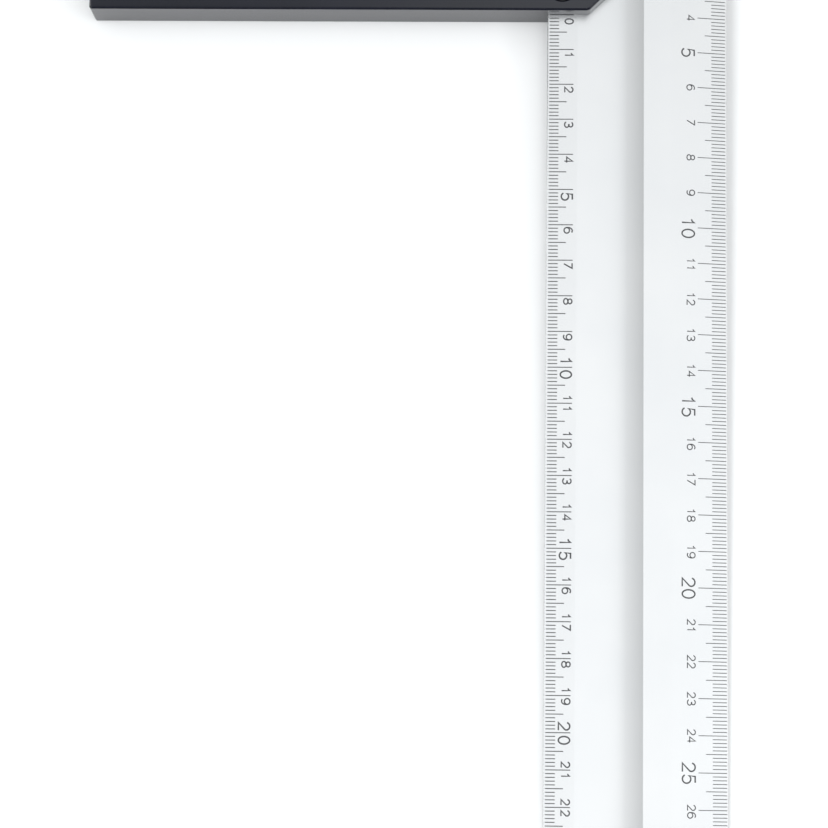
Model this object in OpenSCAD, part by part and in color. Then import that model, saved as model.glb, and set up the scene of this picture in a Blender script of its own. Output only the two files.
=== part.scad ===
// Carpenter's try square, in millimetres.
// X = 0 is the blade's inner edge and Y = 0 the stock's working face, so the origin is the foot of the inside corner.
// The blade runs towards -Y, the stock towards -X, and Z = 0 is the stock's underside.

/* [Stock] */
// Length of the working face, from the blade's inner edge to the free end
stock_reach = 128.3; // [100:0.1:180]
// Width of the stock, from the working face to the outer face
stock_w = 40; // [36:0.5:42]
// Thickness of the stock's wall above the blade
wall_above = 4.9; // [4:0.1:7]
// Thickness of the stock's wall below the blade
wall_below = 4.1; // [3:0.1:6]
// Length of the short square heel between the mitre and the outer face
heel_land = 1.45; // [1.2:0.05:2.5]
// Chamfer along every edge of the stock
stock_chamfer = 0.5; // [0.1:0.05:0.5]

/* [Blade] */
// Length of the blade, which is also the length of its outer scale
blade_l = 300; // [250:5:400]
// Width of the blade
blade_w = 50; // [46:0.5:60]
// Thickness of the blade at its inner edge
blade_t = 4; // [3:0.1:6]
// How far the blade's end sits inside the stock's outer face
blade_setback = 0.3; // [0:0.05:1]
// Width of the flat band that carries the inner scale
scale_band_w = 8.4; // [7.8:0.1:9]
// Width of the shallow cove beside the scale band
cove_w = 18.5; // [15:0.1:18.8]
// Depth of the cove
cove_depth = 0.45; // [0.2:0.05:1]
// Width of the flat land between the cove and the bevel
land_w = 7.6; // [7:0.1:12]
// Thickness of the blade's marking edge
marking_edge_t = 0.5; // [0.3:0.05:1.5]
// Chamfer along the blade's inner edge
blade_chamfer = 0.2; // [0.05:0.05:0.3]

/* [Screws] */
// Thread diameter of the screws
screw_d = 5; // [4:0.5:5.5]
// Diameter of a screw's countersunk head
head_d = 8.7; // [8.4:0.1:8.9]
// Height of the straight rim of a screw's head
head_rim = 0.3; // [0.1:0.05:0.3]
// Diameter of the countersink at the stock's face
sink_d = 9.6; // [9.6:0.1:10.2]
// Width across the flats of the hexagon socket
socket_w = 3; // [2.5:0.1:4]
// Depth of the hexagon socket
socket_depth = 1.9; // [1.5:0.1:2.2]
// How far a screw's tip stays above the stock's underside
tip_recess = 0.5; // [0.2:0.05:1.5]
// Distance of the inner screws from the blade's inner edge
screw_side = 4; // [3.8:0.1:5]
// Distance of the outer row of screws from the outer face, and of the inner screw from the working face
screw_margin = 7.1; // [6.4:0.05:8]
// Distance of the mitre screw from the mitre, along its row
screw_to_mitre = 13.75; // [12.5:0.25:16]

/* [Fits] */
// Gap between the blade and each side of its slot
slot_play = 0.05; // [0.02:0.01:0.1]
// Radial gap between a screw and its clearance hole
hole_play = 0.1; // [0.05:0.05:0.3]
// Radial gap between a screw and its threaded hole
thread_play = 0.03; // [0.01:0.01:0.05]
// Gap between a screw's head and its countersink, along the screw
seat_play = 0.03; // [0.01:0.01:0.05]

/* [Hidden] */
$fn = 64;
through = 1;
stock_color = [0.2, 0.21, 0.235];
blade_color = [0.86, 0.875, 0.885];
screw_color = [0.1, 0.1, 0.11];

stock_t = wall_below + blade_t + wall_above;
blade_top = wall_below + blade_t;
blade_end_y = stock_w - blade_setback;
mitre_rise = stock_w - heel_land;
mitre_foot_x = blade_w - mitre_rise;

cove_end_x = scale_band_w + cove_w;
bevel_start_x = cove_end_x + land_w;
cove_r = pow(cove_w, 2) / (8 * cove_depth) + cove_depth / 2;

screw_row_y = stock_w - screw_margin;
inner_screw = [screw_side, screw_margin];
heel_screw = [screw_side, screw_row_y];
mitre_screw = [mitre_foot_x + screw_row_y - screw_to_mitre, screw_row_y];
screw_places = [inner_screw, heel_screw, mitre_screw];
cone_top_depth = (sink_d - head_d) / 2 - seat_play;
head_top_z = stock_t - cone_top_depth + head_rim;
head_cone_h = (head_d - screw_d) / 2;
tip_chamfer = screw_d / 10;

stock_corners = [
    [-stock_reach, 0],
    [mitre_foot_x, 0],
    [blade_w, mitre_rise],
    [blade_w, stock_w],
    [-stock_reach, stock_w],
];

// The point at a distance from one corner, on the way to the next.
function towards(from, to, distance) = from + (to - from) * distance / norm(to - from);

// An outline with a small flat in place of each corner.
function clipped(corners, flat) =
    let (n = len(corners))
    [for (i = [0 : n - 1], side = [n - 1, 1]) towards(corners[i], corners[(i + side) % n], flat)];

// A block that takes a 45 degree chamfer off an edge of an outline's face. At a tilt of 45 it cuts an upper edge and
// at 135 a lower one. It runs on past both ends, until it has left the outline at the next corner.
module edge_cutter(from, to, tilt, leg) {
    run = to - from;
    overrun = 4 * leg;
    translate(from)
        rotate([0, 0, atan2(run[1], run[0])])
            rotate([tilt, 0, 0])
                translate([-overrun, -overrun, -leg / sqrt(2)])
                    cube([norm(run) + 2 * overrun, 2 * overrun, overrun]);
}

// An anticlockwise outline raised to a plate, with all its upper and lower edges chamfered.
module chamfered_plate(outline, height, leg) {
    n = len(outline);
    difference() {
        linear_extrude(height) polygon(outline);
        for (i = [0 : n - 1], face = [[0, 135], [height, 45]])
            edge_cutter([each outline[i], face[0]], [each outline[(i + 1) % n], face[0]], face[1], leg);
    }
}

module blade_slot() {
    translate([-slot_play, -through, wall_below - slot_play])
        cube([blade_w + slot_play + through, stock_w + 2 * through, blade_t + 2 * slot_play]);
}

// The hole for one screw: threaded below the blade, clear above it, countersunk at the top face.
module screw_hole() {
    translate([0, 0, -through])
        cylinder(r = screw_d / 2 + thread_play, h = stock_t);
    translate([0, 0, wall_below])
        cylinder(r = screw_d / 2 + hole_play, h = stock_t);
    translate([0, 0, stock_t - sink_d / 2])
        cylinder(r1 = 0, r2 = sink_d / 2 + through, h = sink_d / 2 + through);
}

module stock() {
    color(stock_color)
        difference() {
            chamfered_plate(clipped(stock_corners, stock_chamfer), stock_t, stock_chamfer);
            blade_slot();
            for (place = screw_places)
                translate(place)
                    screw_hole();
        }
}

// The blade's cross-section, seen from its tip, with the cove still to be cut.
module blade_section() {
    polygon([
        [0, blade_chamfer],
        [blade_chamfer, 0],
        [blade_w, 0],
        [blade_w, marking_edge_t],
        [bevel_start_x, blade_t],
        [blade_chamfer, blade_t],
        [0, blade_t - blade_chamfer],
    ]);
}

module blade() {
    color(blade_color)
        difference() {
            translate([0, blade_end_y, wall_below])
                rotate([90, 0, 0])
                    linear_extrude(blade_l) blade_section();
            translate([scale_band_w + cove_w / 2, blade_end_y + through, blade_top - cove_depth + cove_r])
                rotate([90, 0, 0])
                    cylinder(r = cove_r, h = blade_l + 2 * through, $fn = 256);
            for (place = screw_places)
                translate([each place, wall_below - through])
                    cylinder(r = screw_d / 2 + hole_play, h = blade_t + 2 * through);
        }
}

// One countersunk screw with a hexagon socket, turned about its own axis.
module screw(place) {
    color(screw_color)
        translate(place)
            difference() {
                rotate_extrude()
                    polygon([
                        [0, tip_recess],
                        [screw_d / 2 - tip_chamfer, tip_recess],
                        [screw_d / 2, tip_recess + tip_chamfer],
                        [screw_d / 2, head_top_z - head_rim - head_cone_h],
                        [head_d / 2, head_top_z - head_rim],
                        [head_d / 2, head_top_z],
                        [0, head_top_z],
                    ]);
                translate([0, 0, head_top_z - socket_depth])
                    cylinder(d = socket_w / cos(30), h = socket_depth + through, $fn = 6);
            }
}

module screw_inner() {
    screw(inner_screw);
}

module screw_heel() {
    screw(heel_screw);
}

module screw_mitre() {
    screw(mitre_screw);
}

stock();
blade();
screw_inner();
screw_heel();
screw_mitre();
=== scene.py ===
# A carpenter's square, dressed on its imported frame. Lengths are in metres. X = 0 is the blade's inner edge,
# Y = 0 the stock's working face and Z = 0 the stock's underside, as in the frame.
import math

import bmesh
import bpy
from mathutils import Euler, Matrix, Vector
from mathutils.bvhtree import BVHTree


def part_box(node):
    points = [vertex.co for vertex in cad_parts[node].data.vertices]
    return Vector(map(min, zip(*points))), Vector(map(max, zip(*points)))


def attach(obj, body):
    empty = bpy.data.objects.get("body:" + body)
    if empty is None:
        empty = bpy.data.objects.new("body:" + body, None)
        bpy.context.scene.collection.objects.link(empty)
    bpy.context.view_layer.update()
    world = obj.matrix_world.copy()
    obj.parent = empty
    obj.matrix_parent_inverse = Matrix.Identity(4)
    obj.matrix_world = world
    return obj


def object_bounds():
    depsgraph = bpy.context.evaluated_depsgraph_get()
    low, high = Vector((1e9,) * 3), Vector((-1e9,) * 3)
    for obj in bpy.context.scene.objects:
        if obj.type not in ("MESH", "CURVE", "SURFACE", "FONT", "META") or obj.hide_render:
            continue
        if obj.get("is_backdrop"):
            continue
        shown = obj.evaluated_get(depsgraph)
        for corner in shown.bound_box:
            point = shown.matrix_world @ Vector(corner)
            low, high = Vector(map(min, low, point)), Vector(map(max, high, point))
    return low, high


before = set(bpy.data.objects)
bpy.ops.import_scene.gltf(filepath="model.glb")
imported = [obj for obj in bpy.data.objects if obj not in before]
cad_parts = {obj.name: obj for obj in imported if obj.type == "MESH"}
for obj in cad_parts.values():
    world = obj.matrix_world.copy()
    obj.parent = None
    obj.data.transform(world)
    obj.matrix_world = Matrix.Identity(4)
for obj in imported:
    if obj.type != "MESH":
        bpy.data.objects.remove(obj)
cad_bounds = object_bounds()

MM = 0.001
BODY = "root"

# Places that the frame gives.
STOCK_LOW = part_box("stock")[0]
BLADE_LOW, BLADE_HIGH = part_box("blade")
INNER_EDGE_X = BLADE_LOW.x
OUTER_EDGE_X = BLADE_HIGH.x
INNER_ZERO_Y = STOCK_LOW.y
OUTER_ZERO_Y = BLADE_HIGH.y

# The blade's upper surface is measured here, clear of the stock and of the blade's tip.
PROBE_Y = -150.4 * MM

# The ticks. A row starts at its margin from the edge, and a tick's length is counted from the edge.
PITCH = 1 * MM
TICKS_PER_NUMBER = 10
TICKS_PER_HALF = 5
INNER_MARGIN = 0.55 * MM
OUTER_MARGIN = 0.25 * MM
INNER_TICK_WIDTH = 0.26 * MM
OUTER_TICK_WIDTH = 0.21 * MM
INNER_TICKS = {"Short": 3.2 * MM, "Middle": 5.4 * MM, "Long": 7.3 * MM}
OUTER_TICKS = {"Short": 4.25 * MM, "Middle": 6.15 * MM, "Long": 8.25 * MM}
INNER_LAST_TICK = 260
OUTER_LAST_TICK = 299

# The ink stands this far above the blade and reaches this far into it.
INK_THICKNESS = 0.02 * MM
INK_BITE = 0.005 * MM

# The numerals' height, width and stroke. Every fifth number is a large one.
LARGE_EVERY = 5
INNER_PLAIN = {"height": 2.65 * MM, "width": 2.02 * MM, "stroke": 0.38 * MM}
INNER_LARGE = {"height": 3.5 * MM, "width": 2.75 * MM, "stroke": 0.44 * MM}
OUTER_PLAIN = {"height": 2.5 * MM, "width": 1.87 * MM, "stroke": 0.3 * MM}
OUTER_LARGE = {"height": 4.0 * MM, "width": 3.0 * MM, "stroke": 0.42 * MM}
INNER_LAST_NUMBER = 25
OUTER_LAST_NUMBER = 29

# How far the numerals' heads lie from their edge of the blade.
INNER_NUMBER_TOP = 7.35 * MM
OUTER_NUMBER_TOP = 9.0 * MM

# On the inner scale the last digit's middle lies this far past its tick, and that of a first digit before it.
INNER_PLAIN_PAST = 1.57 * MM
INNER_LARGE_PAST = 2.02 * MM
INNER_ZERO_PAST = 1.9 * MM
INNER_PLAIN_BEFORE = 1.41 * MM
INNER_LARGE_BEFORE = 1.72 * MM

# On the outer scale a number's middle lies this far past its tick. One of two digits that follows a large one
# is printed later still. The gap between two digits is given in widths of their stroke.
OUTER_NUMBER_DROP = 0.12 * MM
OUTER_LATE_DROP = 0.25 * MM
OUTER_NUMBER_GAP = 0.4

# Parts of an open and of a closed curve of a numeral.
ARC_STEPS = 14
RING_STEPS = 28

# A stroke whose ends lie closer than this is closed.
SAME_POINT = 1e-9

# A stroke's edge is drawn out at a corner by its half width over the cosine of half the turn. The cosine is
# taken as no less than this, so that a sharp corner ends without a spike.
SHARPEST_CORNER = 0.5

# The camera stands where the photograph's was found to be.
CAMERA_PLACE = Vector((-0.010266, -0.230908, 0.804359))
CAMERA_TURN = (math.radians(8.400), math.radians(1.833), math.radians(0.464))
CAMERA_LENS = 127.42
CAMERA_SENSOR = 36
CAMERA_NEAREST = 0.01

# The studio's lit ceiling from left to right: glowing far out at both sides, dim over the stock and even over
# the blade, with a graded edge between the last two.
CEILING = 1.5
CEILING_LEFT = -1.9
DIM_LEFT = -0.6
DIM_RIGHT = -0.17
EVEN_LEFT = -0.018
EVEN_RIGHT = 1.65
CEILING_RIGHT = 2.7
GRADE_STEPS = 4

# The ceiling from near to far: a glowing row, the even one, and two far rows that are dimmed to these shares.
CEILING_NEAR = -2.4
EVEN_NEAR = -1.5
EVEN_FAR = 0.12
HALF_FAR = 0.4
CEILING_FAR = 1.55
HALF_SHARE = 0.94
FAR_SHARE = 0.74

# Brightness of the panels, as a mirror shows it.
GLOW = 3.2
EVEN = 1.065
DIM = 0.32
WALL = 0.5
LEFT_WALL = 0.75

# The lit walls, which face the square from a little above it.
WALL_DISTANCE = 2.6
WALL_MIDDLE = 0.9
WALL_AIM = 0.3
WALL_SIZE = (4, 1.8)
SIDE_WALL_Y = -0.1

# Every light's tint, and the brightness of the room's own faint light and of the backdrop past the floor.
LIGHT_TINT = (0.97, 0.99, 1.0)
ROOM_LIGHT = 0.1
BACKDROP = 0.95

# How far the floor reaches each way.
FLOOR_REACH = 3


# Patterns and finishes

def feed(tree, socket, term):
    """Gives a socket a node's output, or else a plain value."""
    if isinstance(term, bpy.types.NodeSocket):
        tree.links.new(term, socket)
    else:
        socket.default_value = term


def calculated(tree, operation, first, second):
    """The result of a calculation in a node tree. Its two terms are numbers or other nodes' outputs."""
    node = tree.nodes.new("ShaderNodeMath")
    node.operation = operation
    feed(tree, node.inputs[0], first)
    feed(tree, node.inputs[1], second)
    return node.outputs[0]


def carried(tree, value, old_range, new_range):
    """A value carried from one range to another and kept within the new one."""
    node = tree.nodes.new("ShaderNodeMapRange")
    for name, limit in zip(("From Min", "From Max", "To Min", "To Max"), (*old_range, *new_range)):
        node.inputs[name].default_value = limit
    feed(tree, node.inputs["Value"], value)
    return node.outputs["Result"]


def noise(tree, place, scale, detail):
    """Cloudy noise, as a value about 0.5."""
    node = tree.nodes.new("ShaderNodeTexNoise")
    feed(tree, node.inputs["Vector"], place)
    feed(tree, node.inputs["Scale"], scale)
    feed(tree, node.inputs["Detail"], detail)
    return node.outputs["Fac"]


def new_pattern(name, inputs):
    """A shader group that still has to make its value, with the sockets inside it that bring its inputs and
    those that take its value."""
    tree = bpy.data.node_groups.new(name, "ShaderNodeTree")
    for socket, kind, value in inputs:
        made = tree.interface.new_socket(socket, in_out="INPUT", socket_type=kind)
        made.default_value = value
    tree.interface.new_socket("Value", in_out="OUTPUT", socket_type="NodeSocketFloat")
    return tree, tree.nodes.new("NodeGroupInput").outputs, tree.nodes.new("NodeGroupOutput").inputs


def drawn_lines_pattern():
    """Fine lines along the length of an extruded bar, as a value about 0."""
    tree, given, result = new_pattern(
        "drawn_lines",
        [
            ("Vector", "NodeSocketVector", (0, 0, 0)),
            ("Line width", "NodeSocketFloat", 0.3 * MM),
            ("Line length", "NodeSocketFloat", 60 * MM),
        ],
    )
    across = calculated(tree, "DIVIDE", 1, given["Line width"])
    along = calculated(tree, "DIVIDE", 1, given["Line length"])
    scale = tree.nodes.new("ShaderNodeCombineXYZ")
    feed(tree, scale.inputs["X"], across)
    feed(tree, scale.inputs["Y"], along)
    feed(tree, scale.inputs["Z"], across)
    stretched = tree.nodes.new("ShaderNodeVectorMath")
    stretched.operation = "MULTIPLY"
    feed(tree, stretched.inputs[0], given["Vector"])
    feed(tree, stretched.inputs[1], scale.outputs[0])
    lines = noise(tree, stretched.outputs[0], scale=1, detail=3)
    feed(tree, result["Value"], calculated(tree, "SUBTRACT", lines, 0.5))
    return tree


def mottle_pattern():
    """Soft clouds, as a value from 0 to 1. The higher the scale, the smaller they are."""
    tree, given, result = new_pattern(
        "mottle",
        [
            ("Vector", "NodeSocketVector", (0, 0, 0)),
            ("Scale", "NodeSocketFloat", 40.0),
        ],
    )
    clouds = noise(tree, given["Vector"], given["Scale"], detail=5)
    feed(tree, result["Value"], carried(tree, clouds, old_range=(0.3, 0.7), new_range=(0, 1)))
    return tree


DRAWN_LINES = drawn_lines_pattern()
MOTTLE = mottle_pattern()


class Finish:
    """A material in the making: its Principled surface, and the ways in which a pattern varies it."""

    def __init__(self, name):
        self.material = bpy.data.materials.new(name)
        self.material.use_nodes = True
        self.tree = self.material.node_tree
        self.surface = self.tree.nodes["Principled BSDF"].inputs

    def set_all_over(self, values):
        """Sets inputs that are the same all over the surface."""
        for socket, value in values.items():
            self.surface[socket].default_value = value

    def pattern(self, group, values):
        """A pattern on the piece's Object coordinates, with its own values."""
        node = self.tree.nodes.new("ShaderNodeGroup")
        node.node_tree = group
        place = self.tree.nodes.new("ShaderNodeTexCoord").outputs["Object"]
        feed(self.tree, node.inputs["Vector"], place)
        for socket, value in values.items():
            node.inputs[socket].default_value = value
        return node.outputs["Value"]

    def vary_colour(self, pattern, low, high):
        """Moves the colour between two, by a pattern from 0 to 1."""
        node = self.tree.nodes.new("ShaderNodeMix")
        node.data_type = "RGBA"
        node.inputs["A"].default_value = (*low, 1)
        node.inputs["B"].default_value = (*high, 1)
        feed(self.tree, node.inputs["Factor"], pattern)
        feed(self.tree, self.surface["Base Color"], node.outputs["Result"])

    def vary_roughness(self, pattern, low, high, pattern_range=(0, 1)):
        """Moves the roughness between two values, as the pattern moves through its own range."""
        feed(self.tree, self.surface["Roughness"], carried(self.tree, pattern, pattern_range, (low, high)))

    def raise_by(self, pattern, distance, strength):
        """Gives the surface a fine relief."""
        node = self.tree.nodes.new("ShaderNodeBump")
        node.inputs["Strength"].default_value = strength
        node.inputs["Distance"].default_value = distance
        feed(self.tree, node.inputs["Height"], pattern)
        feed(self.tree, self.surface["Normal"], node.outputs["Normal"])

    def stretch_gloss(self, amount, lines_along):
        """Makes the gloss that of fine lines which run in one direction on the piece."""
        self.surface["Anisotropic"].default_value = amount
        node = self.tree.nodes.new("ShaderNodeVectorTransform")
        node.vector_type = "VECTOR"
        node.convert_from = "OBJECT"
        node.convert_to = "WORLD"
        node.inputs["Vector"].default_value = lines_along
        feed(self.tree, self.surface["Tangent"], node.outputs["Vector"])


def satin_aluminium():
    """Clear anodised aluminium: fine die lines along the blade and a slightly cloudy oxide."""
    finish = Finish("satin_aluminium")
    lines = finish.pattern(DRAWN_LINES, {"Line width": 0.35 * MM, "Line length": 90 * MM})
    clouds = finish.pattern(MOTTLE, {"Scale": 35})
    finish.vary_colour(clouds, low=(0.83, 0.84, 0.85), high=(0.87, 0.875, 0.88))
    finish.vary_roughness(lines, low=0.215, high=0.225, pattern_range=(-0.25, 0.25))
    finish.raise_by(lines, distance=0.004 * MM, strength=0.02)
    finish.stretch_gloss(0.85, lines_along=(0, 1, 0))
    finish.set_all_over({"Metallic": 1})
    return finish.material


def black_anodising():
    """Dyed black anodising over a fine satin grain."""
    finish = Finish("black_anodising")
    grain = finish.pattern(MOTTLE, {"Scale": 2600})
    clouds = finish.pattern(MOTTLE, {"Scale": 45})
    finish.vary_colour(clouds, low=(0.003, 0.0042, 0.01), high=(0.0045, 0.0055, 0.0135))
    finish.vary_roughness(grain, low=0.18, high=0.21)
    finish.raise_by(grain, distance=0.003 * MM, strength=0.3)
    finish.set_all_over({"IOR": 1.68})
    return finish.material


def black_oxide():
    """Oil-blackened steel of the screws."""
    finish = Finish("black_oxide")
    grain = finish.pattern(MOTTLE, {"Scale": 1800})
    finish.vary_colour(grain, low=(0.03, 0.03, 0.032), high=(0.06, 0.058, 0.058))
    finish.vary_roughness(grain, low=0.3, high=0.45)
    finish.raise_by(grain, distance=0.005 * MM, strength=0.4)
    finish.set_all_over({"Metallic": 0.8})
    return finish.material


def printing_ink():
    """Dark grey ink of the scales, slightly uneven in its cover."""
    finish = Finish("printing_ink")
    cover = finish.pattern(MOTTLE, {"Scale": 900})
    finish.vary_colour(cover, low=(0.058, 0.06, 0.063), high=(0.088, 0.09, 0.094))
    finish.vary_roughness(cover, low=0.5, high=0.6)
    return finish.material


def pale_floor():
    """A plain pale matt surface."""
    finish = Finish("pale_floor")
    finish.set_all_over({"Base Color": (0.95, 0.95, 0.95, 1), "Roughness": 0.9, "Specular IOR Level": 0.2})
    return finish.material


def dress(node, material):
    """Gives a CAD node its finish."""
    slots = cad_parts[node].data.materials
    slots.clear()
    slots.append(material)


# The printed ticks

def blade_surface():
    """A function that gives the height of the blade's upper surface at a place."""
    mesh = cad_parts["blade"].data
    tree = BVHTree.FromPolygons([v.co for v in mesh.vertices], [p.vertices for p in mesh.polygons])

    def height(x, y):
        hit = tree.ray_cast(Vector((x, y, 1)), Vector((0, 0, -1)))
        return hit[0].z

    return height


class Band:
    """A flat strip of the blade that a scale is printed on, from an edge inwards. inwards is 1 for the inner
    edge of the blade and -1 for its outer one, and zero_y is where the scale starts."""

    def __init__(self, edge_x, inwards, reach, margin, zero_y, surface_height):
        def on_blade(inset):
            x = edge_x + inwards * inset
            return Vector((x, 0, surface_height(x, PROBE_Y)))

        far = on_blade(reach)
        near = on_blade(margin)
        self.along = (far - near).normalized()
        self.normal = Vector((-self.along.z, 0, self.along.x)) * inwards
        self.edge = near - self.along * margin
        self.margin = margin
        self.inwards = inwards
        self.zero_y = zero_y

    def point(self, inset, y, lift=0):
        """A place at a distance in from the edge, along the strip's own surface."""
        return self.edge + self.along * inset + self.normal * lift + Vector((0, y, 0))

    def tick_y(self, tick):
        """How far along the blade a tick lies."""
        return self.zero_y - tick * PITCH

    def turn(self):
        """The turn that lays a tick on the strip, starting at its edge."""
        sideways = self.normal.cross(self.along)
        columns = Matrix((self.along, sideways, self.normal)).transposed()
        return columns.to_euler()


def tick_tree():
    """Geometry nodes that print a row of ticks, with every fifth and every tenth one longer."""
    tree = bpy.data.node_groups.new("ruled_scale", "GeometryNodeTree")
    socket = tree.interface.new_socket
    socket("Geometry", in_out="INPUT", socket_type="NodeSocketGeometry")
    for name, kind in (
        ("Count", "NodeSocketInt"),
        ("First number", "NodeSocketFloat"),
        ("First", "NodeSocketVector"),
        ("Step", "NodeSocketVector"),
        ("Turn", "NodeSocketVector"),
        ("Short", "NodeSocketFloat"),
        ("Middle", "NodeSocketFloat"),
        ("Long", "NodeSocketFloat"),
        ("Width", "NodeSocketFloat"),
        ("Thickness", "NodeSocketFloat"),
        ("Ink", "NodeSocketMaterial"),
    ):
        socket(name, in_out="INPUT", socket_type=kind)
    socket("Geometry", in_out="OUTPUT", socket_type="NodeSocketGeometry")
    nodes, link = tree.nodes, tree.links.new
    given = nodes.new("NodeGroupInput").outputs
    result = nodes.new("NodeGroupOutput").inputs

    row = nodes.new("GeometryNodeMeshLine")
    row.mode = "OFFSET"
    link(given["Count"], row.inputs["Count"])
    link(given["First"], row.inputs["Start Location"])
    link(given["Step"], row.inputs["Offset"])

    place_in_row = nodes.new("GeometryNodeInputIndex").outputs[0]
    number = calculated(tree, "ADD", place_in_row, given["First number"])

    def every(step, when_so, otherwise):
        """One length for every so many ticks, where the division leaves nothing, and another for the rest."""
        none_left = nodes.new("FunctionNodeCompare")
        none_left.operation = "LESS_THAN"
        none_left.inputs["B"].default_value = 0.5
        link(calculated(tree, "MODULO", number, step), none_left.inputs["A"])
        choice = nodes.new("GeometryNodeSwitch")
        choice.input_type = "FLOAT"
        link(none_left.outputs[0], choice.inputs["Switch"])
        link(otherwise, choice.inputs["False"])
        link(when_so, choice.inputs["True"])
        return choice.outputs[0]

    short_or_middle = every(TICKS_PER_HALF, given["Middle"], given["Short"])
    length = every(TICKS_PER_NUMBER, given["Long"], short_or_middle)
    size = nodes.new("ShaderNodeCombineXYZ")
    link(length, size.inputs["X"])
    link(given["Width"], size.inputs["Y"])
    link(given["Thickness"], size.inputs["Z"])

    # A bar of size 1 that starts at the strip's edge and on its surface, to be scaled to each tick's size.
    bar = nodes.new("GeometryNodeMeshCube")
    bar.inputs["Size"].default_value = (1, 1, 1)
    from_edge = nodes.new("GeometryNodeTransform")
    from_edge.inputs["Translation"].default_value = (0.5, 0, 0.5)
    link(bar.outputs["Mesh"], from_edge.inputs["Geometry"])
    turn = nodes.new("FunctionNodeEulerToRotation")
    link(given["Turn"], turn.inputs[0])
    print_each = nodes.new("GeometryNodeInstanceOnPoints")
    link(row.outputs["Mesh"], print_each.inputs["Points"])
    link(from_edge.outputs["Geometry"], print_each.inputs["Instance"])
    link(turn.outputs[0], print_each.inputs["Rotation"])
    link(size.outputs[0], print_each.inputs["Scale"])
    realise = nodes.new("GeometryNodeRealizeInstances")
    link(print_each.outputs["Instances"], realise.inputs["Geometry"])
    paint = nodes.new("GeometryNodeSetMaterial")
    link(realise.outputs["Geometry"], paint.inputs["Geometry"])
    link(given["Ink"], paint.inputs["Material"])
    link(paint.outputs["Geometry"], result["Geometry"])
    return tree


def ruled(name, tree, values):
    """A mesh made by the tick tree with these inputs."""
    seed = bpy.data.objects.new(name, bpy.data.meshes.new(name))
    bpy.context.scene.collection.objects.link(seed)
    modifier = seed.modifiers.new("scale", "NODES")
    modifier.node_group = tree
    ids = {s.name: s.identifier for s in tree.interface.items_tree if s.in_out == "INPUT"}
    for key, value in values.items():
        modifier[ids[key]] = value
    graph = bpy.context.evaluated_depsgraph_get()
    mesh = bpy.data.meshes.new_from_object(seed.evaluated_get(graph), depsgraph=graph)
    mesh.name = name
    bpy.data.objects.remove(seed)
    return mesh


def ticks(name, tree, ink, band, lengths, width, first, last):
    """The mesh of one scale's ticks, from its first millimetre to its last."""
    values = {
        "Count": last - first + 1,
        "First number": float(first),
        "First": band.point(band.margin, band.tick_y(first), -INK_BITE),
        "Step": (0, -PITCH, 0),
        "Turn": band.turn(),
        "Width": width,
        "Thickness": INK_THICKNESS + INK_BITE,
        "Ink": ink,
    }
    values.update({key: length - band.margin for key, length in lengths.items()})
    return ruled(name, tree, values)


# The printed numbers

def arc(centre, radii, start, end, steps=ARC_STEPS):
    """Points on an ellipse, from one angle to another in degrees."""
    points = []
    for i in range(steps + 1):
        angle = math.radians(start + (end - start) * i / steps)
        points.append((centre[0] + radii[0] * math.cos(angle), centre[1] + radii[1] * math.sin(angle)))
    return points


def ring(centre, radii):
    """A closed ellipse."""
    return arc(centre, radii, 0, 360, RING_STEPS)


# The strokes of each numeral, in a box one wide and one high. A numeral may be narrower than its box.
SIX = [arc((0.56, 0.5), (0.54, 0.5), 55, 180) + arc((0.5, 0.33), (0.48, 0.33), 180, 540, RING_STEPS)[1:]]
NUMERALS = {
    "0": [ring((0.5, 0.5), (0.44, 0.5))],
    "1": [[(0.16, 0.76), (0.38, 0.82), (0.54, 1), (0.54, 0)]],
    "2": [arc((0.49, 0.71), (0.43, 0.29), 170, -30) + [(0.06, 0), (0.95, 0)]],
    "3": [arc((0.48, 0.755), (0.41, 0.245), 160, -90) + arc((0.48, 0.265), (0.48, 0.265), 90, -160)],
    "4": [[(0.74, 0), (0.74, 1), (0.03, 0.28), (0.98, 0.28)]],
    "5": [[(0.86, 1), (0.22, 1), (0.13, 0.5)] + arc((0.48, 0.33), (0.45, 0.33), 135, -155)],
    "6": SIX,
    "7": [[(0.05, 1), (0.92, 1), (0.16, 0)]],
    "8": [ring((0.5, 0.755), (0.4, 0.245)), ring((0.5, 0.26), (0.48, 0.26))],
    "9": [[(1 - x, 1 - y) for x, y in stroke] for stroke in SIX],
}


def direction(start, end):
    """The unit vector from one flat point to another."""
    return Vector((end[0] - start[0], end[1] - start[1])).normalized()


def ribbon(points, width):
    """The two sides of a stroke of constant width along a line of points, and whether the line is closed."""
    closed = math.dist(points[0], points[-1]) < SAME_POINT
    if closed:
        points = points[:-1]
    count = len(points)
    sides = []
    for i, here in enumerate(points):
        ways = []
        if i > 0 or closed:
            ways.append(direction(points[i - 1], here))
        if i < count - 1 or closed:
            ways.append(direction(here, points[(i + 1) % count]))
        normals = [Vector((-way.y, way.x)) for way in ways]
        mitre = sum(normals, Vector((0, 0))).normalized()
        reach = width / 2 / max(mitre.dot(normals[0]), SHARPEST_CORNER)
        sides.append((Vector(here) + mitre * reach, Vector(here) - mitre * reach))
    return sides, closed


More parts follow.
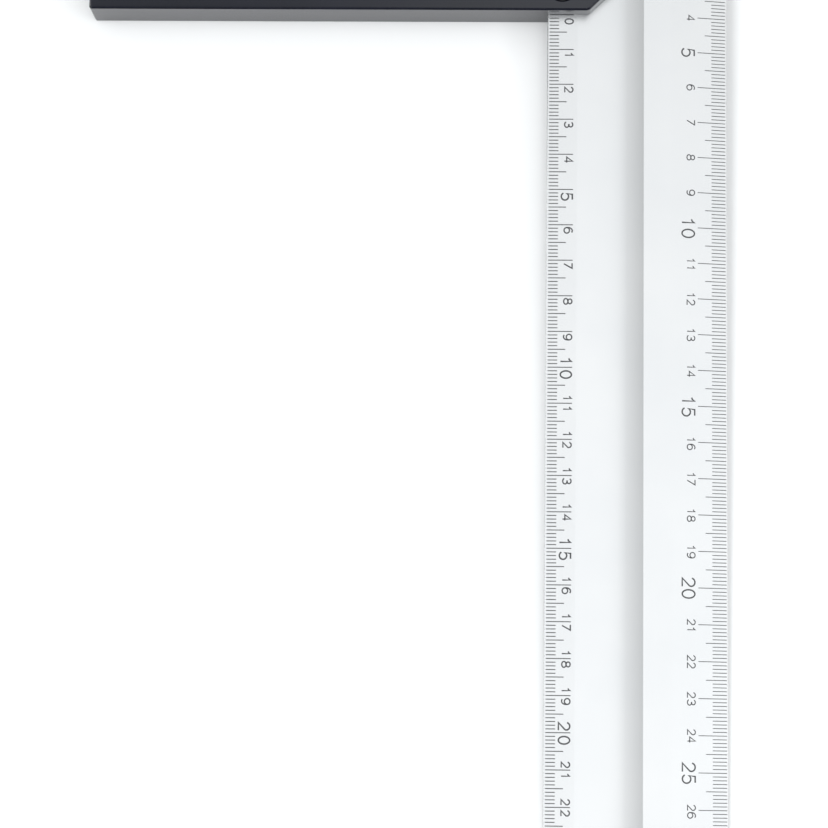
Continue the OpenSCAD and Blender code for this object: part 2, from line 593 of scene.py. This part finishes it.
class Print:
    """Gathers flat strokes of ink into one mesh of closed bars."""

    def __init__(self):
        self.vertices = []
        self.faces = []

    def stroke(self, sides, closed, place):
        """Adds a ribbon as a thin closed bar. place carries a flat point and a lift to the blade."""
        base = len(self.vertices)
        # Each place along the stroke has four points: left and right above, then left and right below.
        for left, right in sides:
            for lift in (INK_THICKNESS, -INK_BITE):
                self.vertices.append(place(left, lift))
                self.vertices.append(place(right, lift))
        count = len(sides)
        for i in range(count if closed else count - 1):
            a = base + 4 * i
            b = base + 4 * ((i + 1) % count)
            self.faces += [
                (a, a + 1, b + 1, b),
                (a + 2, b + 2, b + 3, a + 3),
                (a, b, b + 2, a + 2),
                (a + 1, a + 3, b + 3, b + 1),
            ]
        if not closed:
            end = base + 4 * (count - 1)
            self.faces += [(base, base + 2, base + 3, base + 1), (end, end + 1, end + 3, end + 2)]

    def mesh(self, name, ink):
        """The gathered strokes as a mesh with outward faces."""
        mesh = bpy.data.meshes.new(name)
        mesh.from_pydata(self.vertices, [], self.faces)
        mesh.materials.append(ink)
        work = bmesh.new()
        work.from_mesh(mesh)
        bmesh.ops.recalc_face_normals(work, faces=work.faces)
        work.to_mesh(mesh)
        work.free()
        return mesh


def print_digit(sheet, band, digit, style, middle_y, top_inset):
    """Prints one numeral, turned so that its head points to +X and its line reads towards -Y."""
    half = style["stroke"] / 2
    wide = style["width"] - style["stroke"]
    high = style["height"] - style["stroke"]

    def place(point, lift):
        below_top = style["height"] - half - point.y
        along_line = point.x - style["width"] / 2 + half
        return band.point(top_inset - band.inwards * below_top, middle_y - along_line, lift)

    for stroke in NUMERALS[digit]:
        scaled = [(x * wide, y * high) for x, y in stroke]
        sides, closed = ribbon(scaled, style["stroke"])
        sheet.stroke(sides, closed, place)


def is_large(number):
    """Whether a number is one of those that are printed large."""
    return number > 0 and number % LARGE_EVERY == 0


def inner_numbers(name, ink, band):
    """Numbers of the inner scale: the last digit lies past its tick, and a first digit before it."""
    sheet = Print()
    for number in range(INNER_LAST_NUMBER + 1):
        style, past, before = INNER_PLAIN, INNER_PLAIN_PAST, INNER_PLAIN_BEFORE
        if number == 0:
            past = INNER_ZERO_PAST
        elif is_large(number):
            style, past, before = INNER_LARGE, INNER_LARGE_PAST, INNER_LARGE_BEFORE
        tick_y = band.tick_y(number * TICKS_PER_NUMBER)
        digits = str(number)
        print_digit(sheet, band, digits[-1], style, tick_y - past, INNER_NUMBER_TOP)
        if len(digits) == 2:
            print_digit(sheet, band, digits[0], style, tick_y + before, INNER_NUMBER_TOP)
    return sheet.mesh(name, ink)


def outer_numbers(name, ink, band):
    """Numbers of the outer scale, in line with their ticks and inside them."""
    sheet = Print()
    for number in range(1, OUTER_LAST_NUMBER + 1):
        digits = str(number)
        style = OUTER_LARGE if is_large(number) else OUTER_PLAIN
        late = OUTER_LATE_DROP if len(digits) == 2 and is_large(number - 1) else 0
        tick_y = band.tick_y(number * TICKS_PER_NUMBER)
        step = style["width"] + style["stroke"] * OUTER_NUMBER_GAP
        first_y = tick_y - OUTER_NUMBER_DROP - late + step * (len(digits) - 1) / 2
        for i, digit in enumerate(digits):
            print_digit(sheet, band, digit, style, first_y - i * step, OUTER_NUMBER_TOP)
    return sheet.mesh(name, ink)


# The scales on the blade

def print_on_blade(name, mesh):
    """A finished piece at the origin that rides on the square."""
    piece = bpy.data.objects.new(name, mesh)
    bpy.context.scene.collection.objects.link(piece)
    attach(piece, BODY)


def print_scales():
    """Both printed scales with their numbers."""
    ink = printing_ink()
    surface_height = blade_surface()
    tree = tick_tree()
    inner = Band(INNER_EDGE_X, 1, INNER_TICKS["Long"], INNER_MARGIN, INNER_ZERO_Y, surface_height)
    outer = Band(OUTER_EDGE_X, -1, OUTER_TICKS["Long"], OUTER_MARGIN, OUTER_ZERO_Y, surface_height)
    for name, band, lengths, width, first, last in (
        ("inner_scale_ticks", inner, INNER_TICKS, INNER_TICK_WIDTH, 0, INNER_LAST_TICK),
        ("outer_scale_ticks", outer, OUTER_TICKS, OUTER_TICK_WIDTH, 1, OUTER_LAST_TICK),
    ):
        print_on_blade(name, ticks(name, tree, ink, band, lengths, width, first, last))
    for name, numbers, band in (
        ("inner_scale_numbers", inner_numbers, inner),
        ("outer_scale_numbers", outer_numbers, outer),
    ):
        print_on_blade(name, numbers(name, ink, band))


# The studio

def add_floor():
    """The surface that the square lies on. The blade's weight tips the square, so it rests on the lower front
    edge of the stock and on the blade's tip."""
    tip_rise = BLADE_LOW.z - STOCK_LOW.z
    tip_reach = STOCK_LOW.y - BLADE_LOW.y
    slope = tip_rise / tip_reach
    reach = FLOOR_REACH
    corners = [(-reach, -reach), (reach, -reach), (reach, reach), (-reach, reach)]
    points = [(x, y, STOCK_LOW.z - (y - STOCK_LOW.y) * slope) for x, y in corners]
    mesh = bpy.data.meshes.new("floor")
    mesh.from_pydata(points, [], [(0, 1, 2, 3)])
    mesh.materials.append(pale_floor())
    floor = bpy.data.objects.new("floor", mesh)
    bpy.context.scene.collection.objects.link(floor)
    floor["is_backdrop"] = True


def add_panel(name, place, aim, size, radiance):
    """A rectangular light panel that faces a point, with the brightness that it shows in a mirror. The camera
    doesn't see the panel itself."""
    light = bpy.data.lights.new(name, "AREA")
    light.shape = "RECTANGLE"
    light.size, light.size_y = size
    light.energy = math.pi * size[0] * size[1] * radiance
    light.color = LIGHT_TINT
    lamp = bpy.data.objects.new(name, light)
    lamp.location = place
    lamp.rotation_euler = (Vector(aim) - Vector(place)).to_track_quat("-Z", "Y").to_euler()
    lamp.visible_camera = False
    bpy.context.scene.collection.objects.link(lamp)


def add_ceiling_panel(name, x_span, y_span, radiance):
    """A light panel of the studio's ceiling, between two distances along X and along Y."""
    place = ((x_span[0] + x_span[1]) / 2, (y_span[0] + y_span[1]) / 2, CEILING)
    size = (x_span[1] - x_span[0], y_span[1] - y_span[0])
    add_panel(name, place, (place[0], place[1], 0), size, radiance)


def ceiling_zones():
    """The strips of the ceiling from left to right: where each starts and ends, and its brightness."""
    zones = [((CEILING_LEFT, DIM_LEFT), GLOW), ((DIM_LEFT, DIM_RIGHT), DIM)]
    step = (EVEN_LEFT - DIM_RIGHT) / GRADE_STEPS
    for i in range(GRADE_STEPS):
        share = (i + 0.5) / GRADE_STEPS
        zones.append(((DIM_RIGHT + i * step, DIM_RIGHT + (i + 1) * step), DIM + (EVEN - DIM) * share))
    return zones + [((EVEN_LEFT, EVEN_RIGHT), EVEN), ((EVEN_RIGHT, CEILING_RIGHT), GLOW)]


def add_ceiling():
    """The ceiling's three rows of panels, and the glowing one in front of them."""
    for span, radiance in ceiling_zones():
        add_ceiling_panel("ceiling", span, (EVEN_NEAR, EVEN_FAR), radiance)
        add_ceiling_panel("half_far_ceiling", span, (EVEN_FAR, HALF_FAR), radiance * HALF_SHARE)
        add_ceiling_panel("far_ceiling", span, (HALF_FAR, CEILING_FAR), min(radiance, EVEN) * FAR_SHARE)
    add_ceiling_panel("near_ceiling", (CEILING_LEFT, CEILING_RIGHT), (CEILING_NEAR, EVEN_NEAR), GLOW)


def add_walls():
    """Three dim walls: behind the stock, and at the right and the left of the square."""
    for name, x, y, aim_y, radiance in (
        ("back_wall", 0, WALL_DISTANCE, 0, WALL),
        ("right_wall", WALL_DISTANCE, SIDE_WALL_Y, SIDE_WALL_Y, WALL),
        ("left_wall", -WALL_DISTANCE, SIDE_WALL_Y, SIDE_WALL_Y, LEFT_WALL),
    ):
        add_panel(name, (x, y, WALL_MIDDLE), (0, aim_y, WALL_AIM), WALL_SIZE, radiance)


def add_room():
    """The world: faint all-round light for the square, and a pale backdrop for the camera."""
    world = bpy.data.worlds.new("studio")
    bpy.context.scene.world = world
    world.use_nodes = True
    nodes, link = world.node_tree.nodes, world.node_tree.links.new
    room = nodes["Background"]
    backdrop = nodes.new("ShaderNodeBackground")
    for background, strength in ((room, ROOM_LIGHT), (backdrop, BACKDROP)):
        background.inputs["Color"].default_value = (*LIGHT_TINT, 1)
        background.inputs["Strength"].default_value = strength
    choice = nodes.new("ShaderNodeMixShader")
    link(nodes.new("ShaderNodeLightPath").outputs["Is Camera Ray"], choice.inputs["Fac"])
    link(room.outputs["Background"], choice.inputs[1])
    link(backdrop.outputs["Background"], choice.inputs[2])
    link(choice.outputs[0], nodes["World Output"].inputs["Surface"])


def add_camera():
    """The photograph's view."""
    lens = bpy.data.cameras.new("camera")
    lens.lens = CAMERA_LENS
    lens.sensor_width = CAMERA_SENSOR
    lens.clip_start = CAMERA_NEAREST
    camera = bpy.data.objects.new("camera", lens)
    camera.location = CAMERA_PLACE
    camera.rotation_euler = Euler(CAMERA_TURN, "ZYX").to_matrix().to_euler()
    bpy.context.scene.collection.objects.link(camera)
    bpy.context.scene.camera = camera


def write_sizes():
    """Gathers the CAD model's box and the dressed model's."""
    boxes = {"cad": cad_bounds, "visual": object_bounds()}
    {name: [list(corner) for corner in box] for name, box in boxes.items()}


add_camera()
dress("stock", black_anodising())
dress("blade", satin_aluminium())
screw_finish = black_oxide()
for screw in ("screw_inner", "screw_heel", "screw_mitre"):
    dress(screw, screw_finish)
print_scales()
add_floor()
add_ceiling()
add_walls()
add_room()
bpy.context.scene.view_settings.view_transform = "Standard"
write_sizes()
